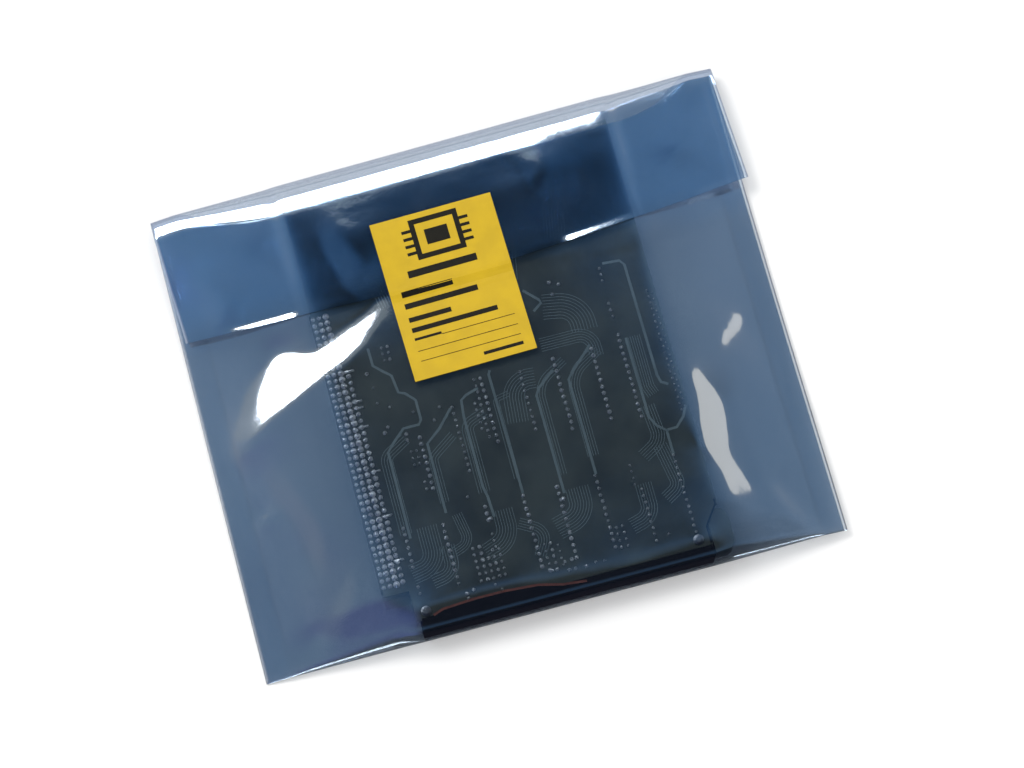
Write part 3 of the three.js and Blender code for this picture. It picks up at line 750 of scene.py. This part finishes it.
# Wide tracks, and families of fine tracks that follow an arc and run straight on at both ends
WIDE_TRACKS = [
    [(-47, -56), (-46.8, -22), (-44, -19), (-39, -14.5), (-33, -14.5), (-31.8, -13), (-31.8, -5), (-35, -1.5),
     (-37.3, -0.5), (-38.2, 6.5), (-41, 9), (-44, 12), (-44.2, 19)],
    [(-31.8, -50), (-31.8, -22.5), (-26, -18), (-20, -11.5)],
    [(-14.8, -56), (-15.2, -48), (-16, -44), (-16, -16), (-15.3, -9.5), (-13, -8), (-8, -6.5)],
    [(-2.2, -50), (-2.8, -2.5), (-2, -1)],
    [(12.7, -54), (12.5, -15), (14, -12.5), (21, -7)],
    [(26, -50), (25.8, -12), (28, -9.5), (35, -3), (37, -1)],
    [(56, -50), (56, -40.5), (53, -38), (51, -34), (50.8, -2)],
    [(56, -40.5), (60, -40.4), (63.5, -37), (65.5, -33)],
    [(61.5, -23.5), (59, -22), (58.3, -19), (58, 26), (56.5, 28), (50, 28.5)],
    [(18, 26), (23, 21), (23.5, 19.5), (20, 17)],
]
# Centre, smallest radius, lines, spacing, first and last angle in degrees, straight parts at each end
FINE_TRACKS = [
    ((-47, -62), 3.2, 8, 1.05, 0, -80, 9, 4), ((-19, -60), 4.0, 8, 1.05, 0, -70, 6, 5),
    ((10.5, -58), 3.0, 9, 1.05, 0, -75, 5, 6), ((11, -15), 3.2, 8, 1.1, 175, 85, 9, 2),
    ((-31, -60), 2.6, 5, 0.9, 10, -70, 8, 3), ((-44, -26), 2.0, 5, 1.05, 180, 120, 28, 8),
    ((-28, -30), 1.6, 4, 1.05, 180, 125, 16, 10), ((-12, -22), 1.8, 5, 1.05, 180, 110, 24, 6),
    ((-1, -14), 0.8, 3, 1.0, 180, 100, 30, 4), ((24, -17), 8.5, 4, 1.0, 180, 120, 30, 8),
    ((38, -17), 9.0, 5, 1.0, 180, 120, 26, 8), ((33, -2), 3.0, 6, 1.0, 90, 0, 14, 4),
    ((28, 8), 4.0, 9, 1.2, 80, 0, 6, 3), ((57, -22), 0.9, 6, 0.9, 180, 200, 20, 3),
    ((46, -40), 4.0, 6, 1.0, 5, -60, 10, 5), ((36, -66), 3.0, 7, 1.0, 0, -75, 8, 4),
    ((50, -60), 2.0, 6, 1.0, 10, -60, 14, 4), ((-4, -68), 3.0, 5, 1.0, 60, -30, 6, 5),
    ((-40, -68), 3.0, 6, 1.0, 0, -80, 6, 4), ((22, 40), 3.0, 7, 1.1, 170, 90, 10, 8),
    ((-40, 40), 3.0, 7, 1.1, 90, 10, 10, 8), ((44, 52), 3.0, 8, 1.1, 170, 90, 10, 6),
]


def solder_piece(material):
    """Small cones of solder round the lead ends, all over the board's upper side."""
    chance = random.Random(21)
    spots = [(x, y0 - k * PITCH, size) for x, y0, count, size in JOINT_COLUMNS for k in range(count)]
    spots += SINGLE_JOINTS
    profile = [(0.74, 0.0), (0.62, 0.25), (0.42, 0.48), (0.27, 0.66), (0.22, 1.0), (0.1, 1.08)]
    sides = JOINT_SIDES
    verts, faces = [], []
    for x, y, size in spots:
        cx = x + chance.uniform(-JOINT_PLAY, JOINT_PLAY)
        cy = y + chance.uniform(-JOINT_PLAY, JOINT_PLAY)
        scale = size * chance.uniform(0.95, 1.2)
        base = len(verts)
        for radius, z in profile:
            for s in range(sides):
                angle = 2 * math.pi * s / sides
                verts.append((cx + radius * scale * math.cos(angle), cy + radius * scale * math.sin(angle),
                              BOARD_TOP + z))
        for ring in range(len(profile) - 1):
            for s in range(sides):
                a = base + ring * sides + s
                b = base + ring * sides + (s + 1) % sides
                faces.append((a, b, b + sides, a + sides))
        faces.append(tuple(base + (len(profile) - 1) * sides + s for s in range(sides)))
        faces.append(tuple(base + s for s in reversed(range(sides))))
    return new_piece("solder_joints", verts, faces, material)


def dash_piece(material):
    """Short bright bridges of solder beside the connector."""
    verts, faces = [], []
    for y in DASH_ROWS:
        base = len(verts)
        corners = [(-55.2, y - 0.55), (-51.2, y - 0.45), (-51.2, y + 0.45), (-55.2, y + 0.55)]
        verts += [(x, yy, BOARD_TOP) for x, yy in corners]
        verts += [(lerp(x, -53.2, 0.3), lerp(yy, y, 0.5), BOARD_TOP + 0.45) for x, yy in corners]
        faces.append(tuple(base + k for k in (4, 5, 6, 7)))
        faces.append(tuple(base + k for k in (3, 2, 1, 0)))
        faces += [(base + k, base + (k + 1) % 4, base + 4 + (k + 1) % 4, base + 4 + k) for k in range(4)]
    return new_piece("solder_bridges", verts, faces, material)


def ribbon(verts, faces, path, width, z):
    """A flat strip along a path."""
    points = [Vector(point) for point in path]
    base = len(verts)
    for i, point in enumerate(points):
        ahead = points[min(i + 1, len(points) - 1)] - points[max(i - 1, 0)]
        normal = Vector((-ahead.y, ahead.x)).normalized() * width / 2
        for sign in (1, -1):
            p = point + normal * sign
            verts.append((p.x, p.y, z))
    for i in range(len(points) - 1):
        a = base + 2 * i
        faces.append((a, a + 1, a + 3, a + 2))


def arc_path(centre, radius, start, end, before, after):
    """Straight run, arc and straight run, tangent to each other."""
    angles = [math.radians(lerp(start, end, k / ARC_PARTS)) for k in range(ARC_PARTS + 1)]
    points = [(centre[0] + radius * math.cos(a), centre[1] + radius * math.sin(a)) for a in angles]
    turn = 1 if end > start else -1
    first = (math.sin(angles[0]) * turn, -math.cos(angles[0]) * turn)
    last = (-math.sin(angles[-1]) * turn, math.cos(angles[-1]) * turn)
    head = (points[0][0] + first[0] * before, points[0][1] + first[1] * before)
    tail = (points[-1][0] + last[0] * after, points[-1][1] + last[1] * after)
    return [head] + points + [tail]


def on_board(path):
    """The path with each point held inside the board's edges."""
    left, right = BOARD_LEFT + TRACK_SIDE_MARGIN, BOARD_RIGHT - TRACK_SIDE_MARGIN
    low, high = BOARD_LOW[1] + TRACK_FRONT_MARGIN, BOARD_HIGH[1] - TRACK_BACK_MARGIN
    return [(min(max(x, left), right), min(max(y, low), high)) for x, y in path]


def track_piece(material):
    verts, faces = [], []
    for path in WIDE_TRACKS:
        ribbon(verts, faces, path, TRACK_WIDTH, BOARD_TOP + TRACK_HEIGHT)
    for centre, radius, lines, spacing, start, end, before, after in FINE_TRACKS:
        for k in range(lines):
            path = arc_path(centre, radius + k * spacing, start, end, before, after)
            ribbon(verts, faces, on_board(path), FINE_TRACK_WIDTH, BOARD_TOP + FINE_TRACK_HEIGHT)
    return new_piece("board_tracks", verts, faces, material, smooth_shade=False)


# Rear edge of the dark strip on the front bar, and the strip along the board's slanted cut. Both are painted
# shade: dark sheets laid where the board's front edge and the gap beside the lever fall into shade.
BAR_SHADE_PAINT_EDGE = [(-50.6, -86.4), (-46.0, -86.3), (-42.0, -84.9), (-30.0, -84.2), (-18.0, -84.3), (-6.0, -85.2),
             (3.0, -87.4), (12.0, -88.4), (30.0, -88.6)]
CORNER_SHADE_PAINT_PATH = [(60.5, -86.4), (60.5, -80.0), (60.9, -79.2), (65.8, -72.5), (65.9, -70.5)]


def lay_painted_shade_strips(black, red):
    """Painted shade: a dark strip along the front bar, over the board's edge, and another along the slanted
    cut, with a dull red edge that is a painted reflection.
    """
    z = BAR_HIGH[2] + STRIP_HEIGHT
    low = BAR_LOW[1] + 0.2
    verts = [(x, low, z) for x, _ in BAR_SHADE_PAINT_EDGE] + [(x, y, z) for x, y in BAR_SHADE_PAINT_EDGE]
    count = len(BAR_SHADE_PAINT_EDGE)
    faces = [(k, k + 1, count + k + 1, count + k) for k in range(count - 1)]
    new_piece("bar_shade_paint", verts, faces, black, smooth_shade=False)
    side_verts, side_faces = [], []
    # Painted shadow in the gap between the board's slanted cut and the lever.
    ribbon(side_verts, side_faces, CORNER_SHADE_PAINT_PATH, 0.7, BOARD_TOP + STRIP_HEIGHT)
    new_piece("corner_shade_paint", side_verts, side_faces, black, smooth_shade=False)
    edge_verts, edge_faces = [], []
    # Painted reflection: a dull red line along the dark strip's rear edge.
    ribbon(edge_verts, edge_faces, BAR_SHADE_PAINT_EDGE[1:8], 0.9, z + 0.05)
    new_piece("bar_glint_paint", edge_verts, edge_faces, red, smooth_shade=False)


# Assemble

def build_object():
    film = film_piece(film_material())
    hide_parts("bag_film")
    paper = plain_material("label_paper", (0.53, 0.35, 0.011), 0.6, vary=0.05, scale=120.0, sheen=0.15)
    label = label_piece(paper)
    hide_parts("label")
    print_piece(plain_material("print_black", (0.008, 0.007, 0.004), 0.6, sheen=0.1))
    solder = plain_material("solder", (0.85, 0.87, 0.9), 0.28, metallic=0.75, vary=0.1, scale=600.0)
    solder_piece(solder)
    dash_piece(solder)
    track_piece(plain_material("tracks", (0.19, 0.25, 0.26), 0.4, vary=0.1, scale=200.0))
    screw = plain_material("screw_steel", (0.22, 0.23, 0.25), 0.4, metallic=1.0)
    bar_black = plain_material("bar_black", (0.002, 0.002, 0.004), 0.5, sheen=0.1)
    # The dark strip is painted shade, and its dull red edge is a painted reflection.
    lay_painted_shade_strips(bar_black, plain_material("red_glint_paint", (0.2, 0.045, 0.025), 0.5))
    finishes = {
        "circuit_board": plain_material("board_mask", (0.045, 0.055, 0.042), 0.4, vary=0.3, scale=60.0,
                                        coat=0.3),
        "pin_connector": plain_material("connector_body", (0.02, 0.022, 0.026), 0.45),
        "front_bar": bar_black,
        "corner_lever": plain_material("lever_body", (0.035, 0.045, 0.036), 0.45),
        "screw_left": screw,
        "screw_right": screw,
    }
    chip = plain_material("chip_epoxy", (0.02, 0.021, 0.024), 0.5)
    capacitor = plain_material("capacitor_dip", (0.3, 0.13, 0.04), 0.35)
    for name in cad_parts:
        if name.startswith("chip_"):
            finishes[name] = chip
        if name.startswith("capacitor_"):
            finishes[name] = capacitor
    for name, material in finishes.items():
        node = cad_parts[name]
        node.data.materials.clear()
        node.data.materials.append(material)
    return film


# Stage

def place_camera():
    data = bpy.data.cameras.new("camera")
    data.lens = LENS_MM
    data.sensor_width = SENSOR_MM
    data.clip_end = 20.0
    camera = bpy.data.objects.new("camera", data)
    bpy.context.scene.collection.objects.link(camera)
    right = Vector((math.cos(VIEW_AZIMUTH), math.sin(VIEW_AZIMUTH), 0.0))
    back = Vector((math.sin(VIEW_AZIMUTH) * math.cos(VIEW_ELEVATION),
                   -math.cos(VIEW_AZIMUTH) * math.cos(VIEW_ELEVATION), math.sin(VIEW_ELEVATION)))
    up = back.cross(right)
    spot = Vector(VIEW_TARGET) + back * VIEW_DISTANCE
    camera.matrix_world = Matrix.Translation(spot * MM) @ Matrix((right, up, back)).transposed().to_4x4()
    bpy.context.scene.camera = camera


def floor_piece():
    """A pale floor. Reflections see it dark in front and paler towards the back."""
    mesh = bpy.data.meshes.new("floor")
    half = 6.0
    corners = [(-half, -half, 0), (half, -half, 0), (half, half, 0), (-half, half, 0)]
    mesh.from_pydata(corners, [], [(0, 1, 2, 3)])
    floor = bpy.data.objects.new("floor", mesh)
    floor.location.z = -0.0002
    bpy.context.scene.collection.objects.link(floor)
    material, tree, shader = node_material("floor_white")
    shader.inputs["Base Color"].default_value = (0.9, 0.9, 0.9, 1)
    shader.inputs["Roughness"].default_value = 0.9
    shader.inputs["Specular IOR Level"].default_value = 0.1
    behind = share_between(tree, axis(tree, coords(tree), "Y"), -0.05, 0.12)
    dim = tree.nodes.new("ShaderNodeEmission")
    link(tree, ramp(tree, behind, [(0.0, (0.02, 0.02, 0.03)), (1.0, (0.6, 0.57, 0.62))]), dim.inputs["Color"])
    path = tree.nodes.new("ShaderNodeLightPath")
    mix = tree.nodes.new("ShaderNodeMixShader")
    link(tree, path.outputs["Is Glossy Ray"], mix.inputs[0])
    link(tree, shader.outputs[0], mix.inputs[1])
    link(tree, dim.outputs[0], mix.inputs[2])
    link(tree, mix.outputs[0], tree.nodes["Material Output"].inputs["Surface"])
    mesh.materials.append(material)
    return floor


def area_light(name, spot, aim, size, power, colour=(1, 1, 1)):
    data = bpy.data.lights.new(name, "AREA")
    data.shape = "RECTANGLE"
    data.size, data.size_y = size
    data.energy = power
    data.color = colour
    lamp = bpy.data.objects.new(name, data)
    lamp.location = spot
    lamp.rotation_euler = (Vector(aim) - Vector(spot)).to_track_quat("-Z", "Y").to_euler()
    lamp.visible_glossy = False
    bpy.context.scene.collection.objects.link(lamp)
    return lamp


def reflector(name, corners, strength, colour=(1, 1, 1)):
    """A bright panel that only shows in reflections, like a softbox beside the table."""
    mesh = bpy.data.meshes.new(name)
    mesh.from_pydata(corners, [], [(0, 1, 2, 3)])
    panel = bpy.data.objects.new(name, mesh)
    bpy.context.scene.collection.objects.link(panel)
    material = bpy.data.materials.new(name)
    material.use_nodes = True
    tree = material.node_tree
    tree.nodes.clear()
    glow = tree.nodes.new("ShaderNodeEmission")
    glow.inputs["Color"].default_value = (*colour, 1)
    glow.inputs["Strength"].default_value = strength
    out = tree.nodes.new("ShaderNodeOutputMaterial")
    link(tree, glow.outputs[0], out.inputs["Surface"])
    mesh.materials.append(material)
    panel.visible_camera = False
    panel.visible_diffuse = False
    panel.visible_shadow = False
    panel.visible_transmission = False
    return panel


def set_world():
    """White where it is seen or lights the table.

    In reflections it is pale at the back, dark overhead and in front, and indigo at the front left."""
    world = bpy.data.worlds.new("studio")
    bpy.context.scene.world = world
    world.use_nodes = True
    tree = world.node_tree
    tree.nodes.clear()
    out = tree.nodes.new("ShaderNodeOutputWorld")
    path = tree.nodes.new("ShaderNodeLightPath")
    where = tree.nodes.new("ShaderNodeTexCoord")
    toward = tree.nodes.new("ShaderNodeVectorMath")
    toward.operation = "DOT_PRODUCT"
    toward.inputs[1].default_value = DARK_OVERHEAD
    link(tree, where.outputs["Generated"], toward.inputs[0])
    sky = ramp(tree, toward.outputs["Value"], [
        (0.0, (0.8, 0.76, 0.82)), (0.3, (0.72, 0.7, 0.76)), (0.6, (0.34, 0.4, 0.5)),
        (0.8, (0.16, 0.27, 0.42)), (0.9, (0.13, 0.24, 0.39)), (0.965, (0.1, 0.2, 0.34)),
        (0.985, (0.055, 0.13, 0.25)), (0.9945, (0.025, 0.075, 0.16)), (1.0, (0.006, 0.018, 0.036))])
    behind = share_between(tree, axis(tree, where.outputs["Generated"], "Y"), -0.12, 0.2)
    beside = share_between(tree, axis(tree, where.outputs["Generated"], "X"), -0.45, -0.12)
    front = ramp(tree, beside, [(0.0, (0.08, 0.12, 0.34)), (1.0, (0.006, 0.01, 0.02))])
    glossy = tree.nodes.new("ShaderNodeBackground")
    glossy.inputs["Strength"].default_value = 1.0
    link(tree, blend_colours(tree, behind, front, sky), glossy.inputs["Color"])
    plain = tree.nodes.new("ShaderNodeBackground")
    plain.inputs["Color"].default_value = (1, 1, 1, 1)
    plain.inputs["Strength"].default_value = 0.8
    seen = tree.nodes.new("ShaderNodeBackground")
    seen.inputs["Color"].default_value = (1, 1, 1, 1)
    first = tree.nodes.new("ShaderNodeMixShader")
    link(tree, path.outputs["Is Glossy Ray"], first.inputs[0])
    link(tree, plain.outputs[0], first.inputs[1])
    link(tree, glossy.outputs[0], first.inputs[2])
    second = tree.nodes.new("ShaderNodeMixShader")
    link(tree, path.outputs["Is Camera Ray"], second.inputs[0])
    link(tree, first.outputs[0], second.inputs[1])
    link(tree, seen.outputs[0], second.inputs[2])
    link(tree, second.outputs[0], out.inputs["Surface"])


def set_lights():
    area_light("key", (-0.9, 0.9, 1.9), (0, 0, 0), (0.9, 0.9), 26.0)
    area_light("fill", (1.2, -1.2, 2.2), (0, 0, 0), (1.6, 1.6), 9.0)
    back, left, middle, right = 2.0, -4.0, 0.4, 4.0
    reflector("back_softbox", [(left, back, 1.55), (middle, back, 1.55), (middle, back, 3.9),
                               (left, back, 3.1)], 14.0)
    reflector("back_glow", [(left, back, 3.1), (middle, back, 3.9), (middle, back, 5.0),
                            (left, back, 4.0)], 0.42, (0.75, 0.88, 1.0))
    for name, low, high, strength in (("back_low", 0.62, 1.5, 0.95), ("back_foot", 0.0, 0.45, 0.8)):
        reflector(name, [(left, back, low), (right, back, low), (right, back, high), (left, back, high)],
                  strength, (0.98, 0.95, 1.0))
    reflector("right_card", [(2.0, -0.9, 0.4), (2.0, 1.6, 0.4), (2.0, 1.6, 1.8), (2.0, -0.9, 1.8)], 1.3,
              (1.0, 0.97, 0.92))


place_camera()
floor_piece()
film = build_object()
set_world()
set_lights()
bpy.context.scene.view_settings.view_transform = "Standard"
